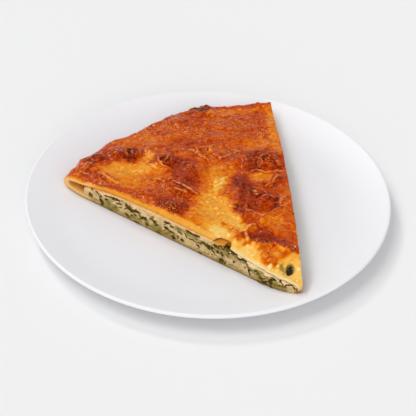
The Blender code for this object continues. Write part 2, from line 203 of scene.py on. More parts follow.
porcelain, tree, shader, place = new_finish("glazed_porcelain", 0.4, 0.2)
pooling = add_noise(tree, place, 45 * mm, detail=3)
glaze = add_ramp(tree, pooling, [(0.3, (233, 233, 237)), (0.7, (236, 236, 239))])
flat_place = tree.nodes.new("ShaderNodeVectorMath")
flat_place.operation = "MULTIPLY"
flat_place.inputs[1].default_value = (1, 1, 0)
tree.links.new(place, flat_place.inputs[0])
from_middle = tree.nodes.new("ShaderNodeVectorMath")
from_middle.operation = "LENGTH"
tree.links.new(flat_place.outputs["Vector"], from_middle.inputs[0])
# painted light: the glaze is made lighter towards the rim, where the rising rim catches more light
painted_rim_light = add_range(tree, from_middle.outputs["Value"], 70 * mm, 96 * mm, 0, 1)
glaze = add_mix(tree, painted_rim_light, glaze, (244, 244, 247))
bare = add_range(tree, add_height(tree, place), 0.15 * mm, 0.5 * mm, 1, 0)
tree.links.new(add_mix(tree, bare, glaze, (221, 216, 207)), shader.inputs["Base Color"])
tree.links.new(add_range(tree, bare, 0, 1, 0.4, 0.75), shader.inputs["Roughness"])
add_bump(tree, shader, add_noise(tree, place, 9 * mm, detail=1), 0.12, 0.05 * mm)
plate.data.materials.append(porcelain)

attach(plate, "root")
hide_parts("plate")


# ---- Crust ---------------------------------------------------------------
# The two thin sheets of yeast dough that hold the filling, sealed at the round rim and cut open on
# both straight sides. The top is brushed with butter and baked hard: it blisters, folds and browns
# unevenly, palest where it touches wet cheese.
apex = np.array((49.5, -80.1))
front_way = np.array((cos(radians(145.8)), sin(radians(145.8))))
right_way = np.array((cos(radians(95.2)), sin(radians(95.2))))
front_out = np.array((-front_way[1], front_way[0]))
right_out = np.array((right_way[1], -right_way[0]))
crust_grain = 0.5 * mm
# the tallest hollow in the dough, where the filling ends on the way to the rim, and the rim (mm)
hollow_height, filling_end, pie_rim = 12, 139.5, 152


def behind_front(points):
    """How far each point lies behind the front cut (mm)."""
    return -(points[:, :2] - apex) @ front_out


def behind_cuts(points):
    """How far each point lies behind the nearer of the two cuts (mm)."""
    return np.minimum(behind_front(points), -(points[:, :2] - apex) @ right_out)


def remeshed_copy(node, name, grain):
    """A new piece with the form of a frame node, its mesh merged and made anew in even small faces."""
    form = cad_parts[node].data.copy()
    form.materials.clear()
    piece = bpy.data.objects.new(name, form)
    form.name = name
    bpy.context.scene.collection.objects.link(piece)
    bpy.ops.object.select_all(action="DESELECT")
    piece.select_set(True)
    bpy.context.view_layer.objects.active = piece
    bpy.ops.object.mode_set(mode="EDIT")
    bpy.ops.mesh.select_all(action="SELECT")
    bpy.ops.mesh.remove_doubles(threshold=0.01 * mm)
    bpy.ops.object.mode_set(mode="OBJECT")
    remesh = piece.modifiers.new("even_faces", "REMESH")
    remesh.mode = "VOXEL"
    remesh.voxel_size = grain
    bpy.ops.object.modifier_apply(modifier=remesh.name)
    smooth = piece.modifiers.new("no_steps", "SMOOTH")
    smooth.factor = 0.5
    smooth.iterations = 2
    bpy.ops.object.modifier_apply(modifier=smooth.name)
    return piece


def points_of(piece):
    """The piece's points and their normals, in millimetres."""
    count = len(piece.data.vertices)
    points, normals = np.empty(count * 3), np.empty(count * 3)
    piece.data.vertices.foreach_get("co", points)
    piece.data.vertex_normals.foreach_get("vector", normals)
    return points.reshape(-1, 3) / mm, normals.reshape(-1, 3)


def put_points(piece, points):
    """Puts moved points back into the piece's mesh."""
    piece.data.vertices.foreach_set("co", (points * mm).ravel())
    piece.data.update()


def surface_of(*pieces):
    """The pieces' faces as one surface to find places on (mm)."""
    corners, faces = [], []
    for piece in pieces:
        piece.data.calc_loop_triangles()
        triangles = np.empty(len(piece.data.loop_triangles) * 3, int)
        piece.data.loop_triangles.foreach_get("vertices", triangles)
        faces += (triangles.reshape(-1, 3) + len(corners)).tolist()
        corners += points_of(piece)[0].tolist()
    return BVHTree.FromPolygons(corners, faces)


def faces_itself(piece, points, normals):
    """Marks the points whose outward side looks at the same piece: the inside of a hollow."""
    surface = surface_of(piece)
    starts = points + normals * 0.2
    return np.array([surface.ray_cast(Vector(start), Vector(normal), hollow_height)[0] is not None
                     for start, normal in zip(starts, normals)])


def shell_levels(points, upward, cell=0.8, fill_rounds=6, smooth_rounds=2):
    """A function giving the height of the piece's top (or bottom) over any place in plan."""
    sign = 1 if upward else -1
    low = points[:, :2].min(0) - 3 * cell
    size = np.ceil((points[:, :2].max(0) - low) / cell).astype(int) + 4
    spot = ((points[:, :2] - low) / cell).astype(int)
    levels = np.full(size, -np.inf)
    np.maximum.at(levels, (spot[:, 0], spot[:, 1]), sign * points[:, 2])
    known = np.isfinite(levels)
    levels[~known] = 0
    filled = known.astype(float)

    def beside(values):
        return sum(np.roll(values, step, axis) for axis in (0, 1) for step in (-1, 1))

    for _ in range(fill_rounds):
        share = beside(filled)
        fresh = (filled == 0) & (share > 0)
        levels[fresh] = beside(levels * filled)[fresh] / share[fresh]
        filled[fresh] = 1
    for _ in range(smooth_rounds):
        levels = np.where(filled > 0, (levels + beside(levels * filled)) / (1 + beside(filled)), 0)

    def level_at(x, y):
        across = np.clip((x - low[0]) / cell - 0.5, 0, size[0] - 2)
        along = np.clip((y - low[1]) / cell - 0.5, 0, size[1] - 2)
        i, j = across.astype(int), along.astype(int)
        u, v = across - i, along - j
        return sign * ((1 - u) * (1 - v) * levels[i, j] + u * (1 - v) * levels[i + 1, j]
                       + (1 - u) * v * levels[i, j + 1] + u * v * levels[i + 1, j + 1])

    return level_at


def noise_at(points, size, seed=0):
    """Noise at each point, its lumps about this many millimetres across."""
    return np.array([noise.noise((x / size + seed, y / size - seed, z / size)) for x, y, z in points])


crust = remeshed_copy("crust", "baked_crust", crust_grain)
points, normals = points_of(crust)
inside = faces_itself(crust, points, normals)
top_level = shell_levels(points, True)
depth = top_level(points[:, 0], points[:, 1]) - points[:, 2]
on_top = (normals[:, 2] > 0.25) & ~inside & (depth < 1.6)

# the dough's top is one smooth skin before its blisters rise
edges = np.empty(len(crust.data.edges) * 2, int)
crust.data.edges.foreach_get("vertices", edges)
edges = edges.reshape(-1, 2)
edges = edges[on_top[edges].all(1)]
neighbours = np.bincount(edges.ravel(), minlength=len(points))
settled = neighbours > 1
for _ in range(50):
    near = (np.bincount(edges[:, 0], points[edges[:, 1], 2], len(points))
            + np.bincount(edges[:, 1], points[edges[:, 0], 2], len(points)))
    points[settled, 2] += 0.5 * (near[settled] / neighbours[settled] - points[settled, 2])


def oval(x, y, middle_x, middle_y, half_x, half_y, turn=0):
    """Distance from the middle of an oval, where 1 is its edge."""
    c, s = cos(radians(turn)), sin(radians(turn))
    along = ((x - middle_x) * c + (y - middle_y) * s) / half_x
    across = (-(x - middle_x) * s + (y - middle_y) * c) / half_y
    return np.hypot(along, across)


def easing(value):
    """0 below 0, 1 above 1, and a smooth step between."""
    held = np.clip(value, 0, 1)
    return held * held * (3 - 2 * held)


def off_line(x, y, line):
    """Signed distance from a drawn line, positive on its left, and the share of the way along it."""
    nearest, side, share = np.full(len(x), np.inf), np.zeros(len(x)), np.zeros(len(x))
    spans = list(zip(line, line[1:]))
    lengths = [hypot(b[0] - a[0], b[1] - a[1]) for a, b in spans]
    run = 0
    for (a, b), length in zip(spans, lengths):
        way = ((b[0] - a[0]) / length, (b[1] - a[1]) / length)
        along = np.clip((x - a[0]) * way[0] + (y - a[1]) * way[1], 0, length)
        dx, dy = x - a[0] - along * way[0], y - a[1] - along * way[1]
        gap = np.hypot(dx, dy)
        closer = gap < nearest
        nearest[closer] = gap[closer]
        side[closer] = np.sign(way[0] * dy - way[1] * dx)[closer]
        share[closer] = ((run + along) / sum(lengths))[closer]
        run += length
    return nearest * np.where(side < 0, -1, 1), share


# raised rings of a burst blister: x, y, radius, half width, height (mm)
ring_blisters = [
    (-24.3, 16.6, 3.6, 1.1, 1.62), (-3.4, 27, 3.6, 1, 1.08), (-43, 24.4, 4.2, 1.2, 1.62),
    (33, 19, 4.6, 1.2, 1.08), (-5.5, 72.5, 5.4, 1.6, 1.26),
]
# single blisters: x, y, radius, height (mm)
big_blisters = [
    (26, -12, 2.47, 2.09), (31, -15.2, 1.95, 1.52), (35.2, -14.6, 1.82, 1.33), (28.6, -16.2, 1.43, 0.95),
    (39, -17, 1.95, 1.52), (33.2, -3.4, 1.82, 1.52), (29.2, -1.4, 1.69, 1.33), (36.8, 4.6, 1.56, 1.14),
    (23.6, -40, 3.12, 1.9), (28.6, -35, 1.69, 1.33), (-29, -0.8, 1.3, 1.14), (-26.6, -1.2, 1.17, 0.95),
    (-18, -11.6, 1.69, 1.52), (-15.4, -12.6, 1.56, 1.14), (-46, 24.6, 1.3, 1.33), (-43.2, 25.6, 1.17, 1.52),
    (-43, 21.6, 1.3, 1.14), (-34, 17, 1.56, 0.95), (-23.2, 18.4, 1.43, 1.14), (-25.4, 14.6, 1.43, 1.14),
    (38.4, 16.6, 1.69, 1.52), (-10.4, 10.4, 1.82, 1.33), (-20, 26.8, 2.08, 1.14), (21, 44.4, 1.95, 1.14),
    (-63.4, 9.4, 2.34, 1.14), (-68, 12.2, 2.34, 0.95), (8, 12.6, 2.08, 0.95), (0.4, 26, 1.69, 1.14),
    (34, -63, 2.08, 1.14), (30.4, -59.6, 1.95, 0.95), (42.6, -55.6, 1.95, 1.14), (16.4, -49.6, 3.38, 1.71),
]
# folds of slack dough: points, width, height (mm), and where it isn't half, the share of the width
# on the left of the line
folds = [
    ([(-21, -2), (-17, -6.2), (-13, -8.2), (-10, -11), (-6.4, -12.6)], 5.25, 2.73, 0.3),
    ([(-26, -2.2), (-21, -5.6), (-17.6, -9.6), (-10.4, -14.6)], 4.55, 1.26),
    ([(-31.4, 17.4), (-28.4, 12.6), (-25, 10.4), (-21.8, 8.8), (-20, 6.4)], 4.9, 2.1, 0.35),
    ([(-20.4, 6), (-21, 1.4), (-19.6, -2.4)], 4.9, 1.47, 0.4),
    ([(-14, 28.4), (-8.2, 25.2), (-4, 21), (0.4, 17)], 4.55, 1.68, 0.4),
    ([(2, 36), (0.6, 30), (2, 24.4), (4.2, 19.6)], 3.85, 1.47), ([(7, 27.4), (4.4, 20.4)], 3.85, 1.05),
    ([(-8.4, 30.6), (-7, 25)], 3.5, 1.26),
    ([(17, 6.4), (20.6, -3), (21, -12), (20.4, -22), (19.4, -30)], 5.25, 2.1, 0.4),
    ([(14, -6), (15.4, -14), (15.6, -24)], 5.6, 1.47),
    ([(19.6, -27.2), (25, -29.2), (30, -31.2), (33.4, -29), (38, -25), (44, -23)], 5.25, 1.89, 0.4),
    ([(25.6, -20.6), (31, -18.6), (36, -20.6)], 5.6, 1.26), ([(34, -3), (37, 2.6), (38.6, 9)], 4.2, 1.47),
    ([(38.6, -12), (41, -17), (40, -23)], 4.2, 1.26),
    ([(20, -43.4), (20.4, -48), (21.8, -51.8)], 4.2, 2.52, 0.4),
    ([(21.6, -52.4), (28, -52.8), (35, -52), (40, -56.6), (47, -57.4)], 4.55, 1.89, 0.7),
    ([(12.6, -41), (16, -45.6), (18.4, -50.8)], 4.2, 1.26),
    ([(27, -56), (31.4, -61), (36.6, -65.6)], 5.6, 1.26),
    ([(20, 22), (26, 26.8), (33, 25.6), (38.6, 27)], 5.25, 1.68),
    ([(27, 13.4), (31, 16.6), (36, 14.4)], 4.55, 1.26), ([(20.6, 12), (21.4, 18), (19.8, 24)], 5.6, 1.68),
    ([(-70, 16.4), (-64, 14.4), (-58.6, 14.2)], 4.9, 1.47, 0.4),
    ([(-67.4, 23.4), (-62.4, 22.8), (-59.4, 18.6)], 5.6, 1.68),
    ([(-57.4, 30.4), (-53, 26), (-50, 19.4)], 5.95, 1.47),
    ([(-46.8, 29.4), (-46.8, 24.6), (-45, 19.6)], 3.15, 1.47),
    ([(-40.6, 30), (-40, 24.6), (-41.4, 19.6)], 3.15, 1.26),
    ([(-37.6, 32), (-33, 25), (-30, 20.4)], 5.25, 1.26), ([(-61, 7), (-55.6, 2), (-50.6, -2.6)], 4.9, 1.26),
    ([(-40, -11.4), (-35.6, -13), (-31.4, -12)], 5.25, 1.26),
    ([(-26, -23), (-20.6, -25.6), (-13.6, -24.6)], 5.6, 1.47),
    ([(-25.6, 61.4), (-19.4, 58), (-13.4, 52.4)], 6.3, 1.26),
    ([(-26.4, 43.6), (-20.4, 41.6), (-14.4, 40.4)], 5.25, 1.26), ([(-9.6, 61), (-8, 54)], 5.25, 1.26),
    ([(-2, 49), (0, 43), (2.4, 38)], 5.25, 1.05),
]
# thin lips where a blister burst or the dough creased: points, half width, height (mm); the higher
# a lip stands, the paler it is, partly paler dry dough and partly painted highlight
lips = [
    ([(-19.6, -3.6), (-16.6, -6), (-14.3, -7.2), (-11, -10), (-8.8, -11.7), (-6.3, -12.6)], 0.55, 0.9),
    ([(-28.7, 21), (-28.1, 15), (-26, 11.5), (-23.2, 9.8)], 0.5, 0.5),
    ([(-24.6, 16.6), (-23.3, 18.3), (-22, 20.3)], 0.45, 0.55),
    ([(-27.7, 24.1), (-24.9, 22.9), (-20.9, 20.4)], 0.45, 0.35),
    ([(-12.5, 27.2), (-8.2, 24.4), (-5.3, 21.4), (-1.1, 18.2)], 0.5, 0.5),
    ([(-7.8, 29.2), (-7.1, 25.4), (-5.4, 23.3)], 0.45, 0.45),
    ([(-29.8, 0), (-27.1, -0.7), (-24.3, -2.3)], 0.6, 0.7),
    ([(-18.5, -10.4), (-15.2, -11.9), (-12, -13.2)], 0.5, 0.6),
    ([(5.8, 20), (9.9, 24.2), (16.3, 28.7)], 0.6, 0.35),
    ([(3.5, -4.5), (7.3, -2.4), (8.3, 2.1)], 0.5, 0.35), ([(1.7, -23.6), (5.5, -24)], 0.5, 0.3),
    ([(23.6, 10.2), (25.8, 11.5), (31.3, 9.3), (34.9, 10.6), (41.8, 12.3)], 0.5, 0.45),
    ([(28.4, -1.4), (30.6, 0)], 0.6, 0.6),
    ([(31.1, -4.3), (34.7, -1.4), (35.6, 2.4), (38.4, 4.6)], 0.5, 0.5),
    ([(24.8, -10.9), (26, -13.4)], 0.8, 0.8), ([(24.6, -6.6), (28.9, -8.2), (31, -10.4)], 0.45, 0.35),
    ([(29.1, -15), (31.8, -13.1), (35.3, -15.5)], 0.5, 0.5),
    ([(21.9, -8.3), (21.3, -14.4), (20.8, -20.9), (19.8, -31)], 0.45, 0.12),
    ([(20.3, -26.9), (23.7, -26.3), (26.4, -30), (29, -31.2), (32.5, -27.7), (35.7, -25),
      (38.4, -23.1)], 0.5, 0.5), ([(38.5, -19.6), (39.1, -15.7), (41.2, -13.6)], 0.55, 0.5),
    ([(20.3, -41.8), (23, -39.7), (25.1, -38.8)], 0.6, 0.6), ([(20.1, -46.8), (20.9, -50.3)], 0.6, 0.75),
    ([(28, 21.3), (32.2, 24.8), (35.8, 25.2)], 0.5, 0.4), ([(37.4, 17.9), (38.5, 16.3)], 0.8, 0.5),
    ([(11.3, -21.4), (15, -23)], 0.4, 0.4),
    ([(-60.5, 7.6), (-56.2, 2.5), (-53.2, -0.7), (-49.6, -2.2)], 0.7, 0.55),
    ([(-46.6, 22.9), (-45.7, 21.1)], 0.6, 0.6), ([(-43.4, 24.6), (-42.5, 24)], 0.6, 0.6),
    ([(-68.8, 8.1), (-65.9, 6.8)], 0.5, 0.4), ([(-70.4, 16.6), (-65.5, 15)], 0.7, 0.35),
    ([(-32.7, 13.9), (-29.8, 10)], 0.5, 0.4),
]
baking = np.random.default_rng(31)
low, high = points.min(0), points.max(0)
small_count = 1300
small_places = baking.uniform(low[:2], high[:2], (small_count, 2))
small_radii = baking.uniform(0.55, 1.25, small_count)
small_heights = small_radii * baking.uniform(0.18, 0.42, small_count)


def dough_rise(points):
    """How far baking lifted or wrinkled the top at each point (mm)."""
    x, y = points[:, 0], points[:, 1]
    flat = points * (1, 1, 0)
    rise = 0.8 * noise_at(flat, 7.5) + 0.26 * noise_at(flat, 2.8, 7.3)
    for ring_x, ring_y, radius, width, height in ring_blisters:
        wobble = 1 + 0.25 * noise_at(flat - (ring_x, ring_y, 0), 4, ring_x)
        off_ring = (np.hypot(x - ring_x, y - ring_y) - radius * wobble) / width
        rise += height * np.exp(-off_ring * off_ring)
    for blister_x, blister_y, radius, height in big_blisters:
        rise += height * easing(1.4 - np.hypot(x - blister_x, y - blister_y) / radius)
    for line, width, height, *uneven in folds:
        left = uneven[0] if uneven else 0.5
        off, share = off_line(x, y, line)
        off = np.where(off > 0, off / (width * left), off / (width * (1 - left)))
        rise += height * np.exp(-off * off) * easing(4 * share) * easing(4 * (1 - share))
    for line, half_width, height in lips:
        rise += height * np.exp(-(off_line(x, y, line)[0] / (1.4 * half_width)) ** 2)
    for place, radius, height in zip(small_places, small_radii, small_heights):
        near = (np.abs(x - place[0]) < 2 * radius) & (np.abs(y - place[1]) < 2 * radius)
        gap = np.hypot(x[near] - place[0], y[near] - place[1]) / radius
        rise[near] += height * easing(1.4 - gap)
    return rise


def pressed_out(points):
    """How far the knife pushed the lower part of the front cut outwards (mm)."""
    reach, top, fade = 1.1, 10.5, 4.5
    from_tip = np.hypot(*(points[:, :2] - apex).T)
    spread = easing((top - points[:, 2]) / fade) * easing((pie_rim + 3 - from_tip) / 12)
    spread *= easing(1.6 - behind_front(points) / 2)
    return reach * spread[:, None] * front_out


def thin_out(piece, hidden, ratio):
    """Leaves fewer faces where the other pieces hide them."""
    bpy.ops.object.mode_set(mode="EDIT")
    bpy.ops.mesh.select_mode(type="VERT")
    bpy.ops.mesh.select_all(action="DESELECT")
    bpy.ops.object.mode_set(mode="OBJECT")
    piece.data.vertices.foreach_set("select", hidden)
    bpy.ops.object.mode_set(mode="EDIT")
    bpy.ops.mesh.decimate(ratio=ratio)
    bpy.ops.object.mode_set(mode="OBJECT")
    bpy.ops.object.shade_smooth()


# how deep the relief reaches into the dough, and how far it may stand above the solid (mm)
sheet, headroom = 1.9, 0.3
sculpted = points.copy()
depth = shell_levels(points, True)(points[:, 0], points[:, 1]) - points[:, 2]
sculpted[:, 2] += dough_rise(points) * np.clip(1 - depth / sheet, 0, 1) * ~inside
sculpted[:, 2] = np.minimum(sculpted[:, 2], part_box("crust")[1].z / mm + headroom)
sculpted[:, :2] += pressed_out(points)
put_points(crust, sculpted)
gap_to_cut = behind_cuts(points)
underneath = (normals[:, 2] < -0.8) & ~inside
thin_out(crust, (inside & (gap_to_cut > 2.5)) | (underneath & (gap_to_cut > 1.5)), 0.12)

# how far the oven took the top: x, y, half sizes (mm), browning from 0 pale to 1 dark, and a turned
# oval's turn (degrees)
baked_patches = [
    # along the rim and the back
    (18, 58, 15, 21, 0.61), (36, 55, 3.4, 27, 0.34, 6), (26, 38, 9, 5.5, 0.41),
    (20, 73.5, 17, 2.8, 0.44, 11), (-33, 42, 7, 4.5, 0.42, -40), (-45, 39, 9, 5, 0.44, 40),
    (-24, 66, 7, 3, 0.62, 32), (-19, 60, 8, 4, 0.64, -35), (-8, 56, 2.6, 6, 0.64), (-29, 47, 4, 3, 0.64),
    (-6, 73, 6.4, 5.6, 0.93), (4, 70, 5, 4, 0.44), (0, 47, 3, 5, 0.62), (-13, 37, 5.5, 3.5, 0.65),
    (-3, 35, 6, 3.5, 0.6), (8, 47, 6, 7, 0.52),
    # left end, with the yellow hollow
    (-72, 8, 6, 7, 0.54, -30), (-64.5, 9, 5, 4.5, 0.64), (-54, 24, 8, 7.5, 0.7),
    (-64, 19.5, 5.2, 4.2, 0.85), (-56, 17.2, 9, 2.4, 0.74), (-26, 5, 7, 5.5, 0.4, -40),
    (-45, 10.5, 13.5, 6.5, 0.23), (-35.5, 11.5, 5.5, 4.5, 0.21, -20), (-47, 2, 10, 6, 0.28, -30),
    (-44, -5, 9, 4.5, 0.37, -20), (-33, 0, 4, 4, 0.44), (-57, -2, 14, 2.5, 0.69, -37),
    (-54.5, 1.2, 7, 1.9, 0.39, -42), (-43, 24.5, 4.6, 6.4, 0.88), (-37.4, 25, 2.2, 6, 0.54),
    (-33.8, 21.6, 3.4, 4.6, 0.26), (-52, -11.4, 20, 1.6, 0.42, -38),
    # between the folds
    (-24.5, 17, 5, 5.5, 0.64), (-24.3, 16.2, 2.6, 2.8, 0.82), (-20, 29, 7, 5, 0.6, -30),
    (-15, 8, 6.5, 14, 0.74, 8), (-9, 5, 4.6, 9, 0.73), (-15, 17, 5, 4.5, 0.8), (-11, -2, 5, 5, 0.8),
    (-14, 22, 4, 3, 0.47, -30), (-37, -15, 5.5, 4.4, 0.68), (-27, -13, 9, 6.5, 0.59),
    (-17, -18, 6, 4, 0.64), (-23, -22, 7, 4, 0.76, -20), (-15, -26, 9, 5, 0.86, -15),
    (-28, -27, 9, 2.6, 0.58, -38), (-45, -14, 4, 2.4, 0.4, -30),
    # the pale middle
    (-2.5, 3, 3.5, 11, 0.49), (4.5, 1, 6, 13, 0.31, -12), (6, -3, 2, 8, 0.12, -20),
    (1.2, -13, 3.8, 3.2, 0.17), (5, -21, 10, 8, 0.2), (1, -33, 11, 7.5, 0.22, -30),
    (10, -30, 6.4, 11, 0.18, 8), (-6, -33, 5, 4, 0.35), (16.6, -37, 3, 9, 0.12, 22),
    (9.5, -37.5, 2, 1.5, 0.42), (8, -44.6, 9, 3.6, 0.04, -34), (10.5, 10, 4, 4, 0.38),
    # the dark fold and what lies right of it
    (13, -12, 3.4, 9, 0.52, 10), (15.4, 1, 3, 4.6, 0.8), (19.4, -6, 3.4, 12, 0.85, 3),
    (17.6, -24, 2.9, 8, 0.8, 8), (11, 23, 6.4, 3.8, 0.64, 25), (30, 20, 10.5, 7.5, 0.73),
    (24, 19, 4.6, 8, 0.79), (30, 4.6, 8.4, 5, 0.31), (38.4, 2, 3.6, 10, 0.64, -10), (32, -16, 10.5, 9, 0.7),
    (29, -23, 8, 3.6, 0.75), (41.4, -18, 3.4, 9, 0.46, -6), (24, -34, 4.6, 4, 0.62), (33, -35, 6, 7, 0.38),
    (42, -36, 4, 9, 0.48), (17, -49.6, 4.2, 3.6, 0.7), (27.4, -47.4, 7, 3.6, 0.82, 12),
    (31, -44, 2.8, 4, 0.84, -30), (37.4, -51, 6.2, 3.2, 0.76, -15), (28.5, -50.4, 4.5, 1.8, 0.92, 5),
    (43.4, -56, 5, 1.7, 0.84),
    # the pale tip
    (38, -68, 10, 5.5, 0.06, -34), (23, -60, 15, 6.5, 0.03, -35), (36, -56, 5, 1.8, 0.28),
    (32, -61, 5.6, 3.8, 0.42, -45), (35, -63.4, 2, 2.8, 0.5), (43.6, -62, 5.6, 3.8, 0.16),
    (45.5, -72.5, 6.5, 9, 0.06),
]
# places crowded with painted glints, as on tiny dry blisters catching the light: x, y, half sizes (mm)
flecked_places = [
    (-35, 24, 3.3, 4.4), (-24.5, -10.3, 3.3, 3.5), (-16.6, -19.3, 2.7, 2.7), (-21.1, -25.4, 3.3, 4),
    (-10.6, 10.4, 1.6, 2.7), (0.1, 29, 3.3, 3.5), (-12.7, 25.9, 3.3, 2.7), (-36.6, -14.4, 3.8, 3.5),
    (-33.1, 20.7, 3.3, 3.5), (-2.5, 20.9, 3.8, 2.2), (40.1, -16.3, 2.2, 4.4), (-55.1, 2, 4.9, 3.5),
    (-68.2, 14.4, 3.3, 2.7), (12.4, 26.5, 4.9, 3.5), (29.1, 20.7, 4.9, 3.5), (38.2, -33.9, 3.3, 4.4),
    (28.7, -55.1, 5.5, 4.4), (-31.8, -3.1, 3.8, 2.7), (-30.2, 52.8, 7.7, 4.4), (-8.8, 47.7, 8.8, 5.3),
    (12.2, 59.7, 11, 6.2), (31.1, 46.4, 5.5, 6.2), (2.2, 70.4, 11, 2.7), (-23.7, 60.8, 5.5, 2.7),
    (-50.3, 27.9, 4.4, 3.5),
]
points, normals = points_of(crust)
inside = faces_itself(crust, points, normals)
x, y, z = points.T
depth = shell_levels(points, True)(x, y) - z
above_plate = z - shell_levels(points, False)(x, y)
flat = points * (1, 1, 0)
warp_x = x + 2.6 * noise_at(flat, 7, 11) + 1.6 * noise_at(flat, 2.4, 3.1)
warp_y = y + 2.6 * noise_at(flat, 7, 23) + 1.6 * noise_at(flat, 2.4, 5.7)
browning = 0.53 + 0.08 * noise_at(flat, 12, 1.5)
from_apex = np.hypot(x - apex[0], y - apex[1])
browning += 0.1 * easing((from_apex - pie_rim) / 12)
for middle_x, middle_y, half_x, half_y, value, *turn in baked_patches:
    out = oval(warp_x, warp_y, middle_x, middle_y, half_x, half_y, *turn)
    near = 0.7 * easing(1.75 - 1.25 * out) + 0.3 * easing(1.5 - 0.75 * out)
    browning += (value - browning) * near
# painted shade darkens the hollows and the feet of folds and painted light pales the crests; the highest
# crests brown a little more
rise = dough_rise(points)
around = sum(dough_rise(points + step) for step in ((1, 0, 0), (-1, 0, 0), (0, 1, 0), (0, -1, 0))) / 4
browning += 0.065 + 0.03 * np.clip(rise - 0.6, -0.8, 1.4) + 0.55 * np.clip(around - rise, -0.3, 0.4)
# the cut edge of the top is paler, where the knife turned the dough over
edge_width = np.interp(from_apex, (45, 58, 80, 95), (3, 4.6, 4.6, 3))
edge = easing((edge_width - behind_front(points)) / 2.4) * (from_apex > 8)
edge_browning = np.interp(from_apex, (36, 58, 78, 100, 125), (0.04, 0.08, 0.14, 0.16, 0.22))
browning += (np.minimum(browning, edge_browning) - browning) * 0.8 * edge
# the underside bakes evenly, and the inside of the hollow stays pale
browning = np.where(normals[:, 2] < -0.3, 0.42, browning)
browning = np.where(inside, 0.15, browning)
faces_cut = np.maximum(normals[:, :2] @ front_out, normals[:, :2] @ right_out) > 0.55
gap_to_cut = behind_cuts(points)
pocket = from_apex > filling_end
deep = (inside | (depth > 2.4) | (z < 9)) & (~pocket | (gap_to_cut < 1.5)) & (normals[:, 2] > -0.3)
cut = ((faces_cut & (gap_to_cut < 2.5) & ~inside) | deep).astype(float)
# the tip's end is a small roll of dough with a darker arc above it
arc = np.abs(oval((points[:, :2] - apex) @ front_way, z, 7.4, 8.6, 4.6, 3.4) - 1)
singed = cut * easing(1.6 - arc / 0.12) * (z > 8.2)
# at the closed rim the cut is all dough, and near the tip it is pale
doughy = easing((from_apex - 134) / 6) * (0.1 + 0.9 * easing((z - 5) / 3))
milky = 0.85 * easing((48 - from_apex) / 10) * easing(z - 10.8)
paled = np.zeros(len(points))
# each lip is painted pale, partly paler dry dough and partly painted highlight, with painted shade in a
# crease beside it
for line, half_width, height in lips:
    off = np.abs(off_line(x, y, line)[0])
    paled = np.maximum(paled, 0.6 * height * easing(1.8 - 1.2 * off / half_width))
    painted_crease_shade = height * np.exp(-((off - 2.6 * half_width) / (1.3 * half_width)) ** 2)
    browning += 0.16 * painted_crease_shade * (browning > 0.3)
paled *= np.clip(0.62 + 1.5 * noise_at(flat, 1.9, 8), 0, 1)
# painted glints dot the browner crust and crowd the listed places
flecked = 0.24 * easing((browning - 0.3) / 0.3)
for place in flecked_places:
    flecked = np.maximum(flecked, easing(1.9 - oval(warp_x, warp_y, *place)))
# leaves show through the thin dough around the hole near the tip and left of it
hole = (42.9, -67.6)
herbs = easing(1.9 - oval(x, y, *hole, 1.7, 2.3))
herbs = np.maximum(herbs, 0.7 * easing(1.8 - oval(warp_x, warp_y, 39.4, -67.2, 0.9, 2)))


def keep_values(piece, **values):
    """Keeps a number per point under each name, for the piece's finish to read."""
    for name, numbers in values.items():
        piece.data.attributes.new(name, "FLOAT", "POINT").data.foreach_set("value", numbers)


keep_values(crust, browning=browning, cut=cut, depth=depth, above_plate=above_plate, herbs=herbs,
            singed=singed, paled=paled, flecked=flecked, doughy=doughy, milky=milky)


def add_attribute(tree, name):
    """A value kept at the piece's points."""
    reader = tree.nodes.new("ShaderNodeAttribute")
    reader.attribute_name = name
    return reader.outputs["Fac"]


def add_tint(tree, colour, name, over):
    """A colour laid over another by the share that the piece's points keep under a name."""
    return add_mix(tree, add_attribute(tree, name), colour, over)


baked_dough, tree, shader, place = new_finish("baked_dough", 0.3, 0.24)
shader.inputs["Specular Tint"].default_value = (1, 0.55, 0.12, 1)
coarse = add_noise(tree, place, 3.4 * mm, detail=3)
fine = add_noise(tree, place, 1.1 * mm, detail=3)
specks = add_noise(tree, place, 0.6 * mm, detail=1)
baked = add_attribute(tree, "browning")
mottle = add_sum(tree, "ADD", add_range(tree, coarse, 0.3, 0.7, -0.11, 0.11),
                 add_range(tree, fine, 0.3, 0.7, -0.11, 0.11))
mottle = add_sum(tree, "ADD", mottle, add_range(tree, specks, 0.6, 0.72, 0, 0.16))
mottle = add_sum(tree, "MULTIPLY", mottle, add_range(tree, baked, 0.2, 0.55, 0.2, 1.1))
shade = add_sum(tree, "ADD", baked, mottle, clamp=True)
skin = add_ramp(tree, shade, [
    (0, (250, 220, 148)), (0.1, (247, 197, 98)), (0.22, (240, 165, 54)), (0.34, (228, 132, 24)),
    (0.46, (217, 103, 5)), (0.58, (201, 77, 0)), (0.7, (179, 54, 0)), (0.82, (155, 36, 0)),
    (0.92, (130, 22, 0)), (1, (106, 12, 0))])
# painted glints: pale dots over the crust
painted_glint_dots = add_range(tree, add_noise(tree, place, 0.85 * mm, detail=1), 0.55, 0.65, 0, 0.62)
painted_glint_dots = add_sum(tree, "MULTIPLY", painted_glint_dots, add_attribute(tree, "flecked"))
skin = add_mix(tree, painted_glint_dots, skin, (240, 162, 78))
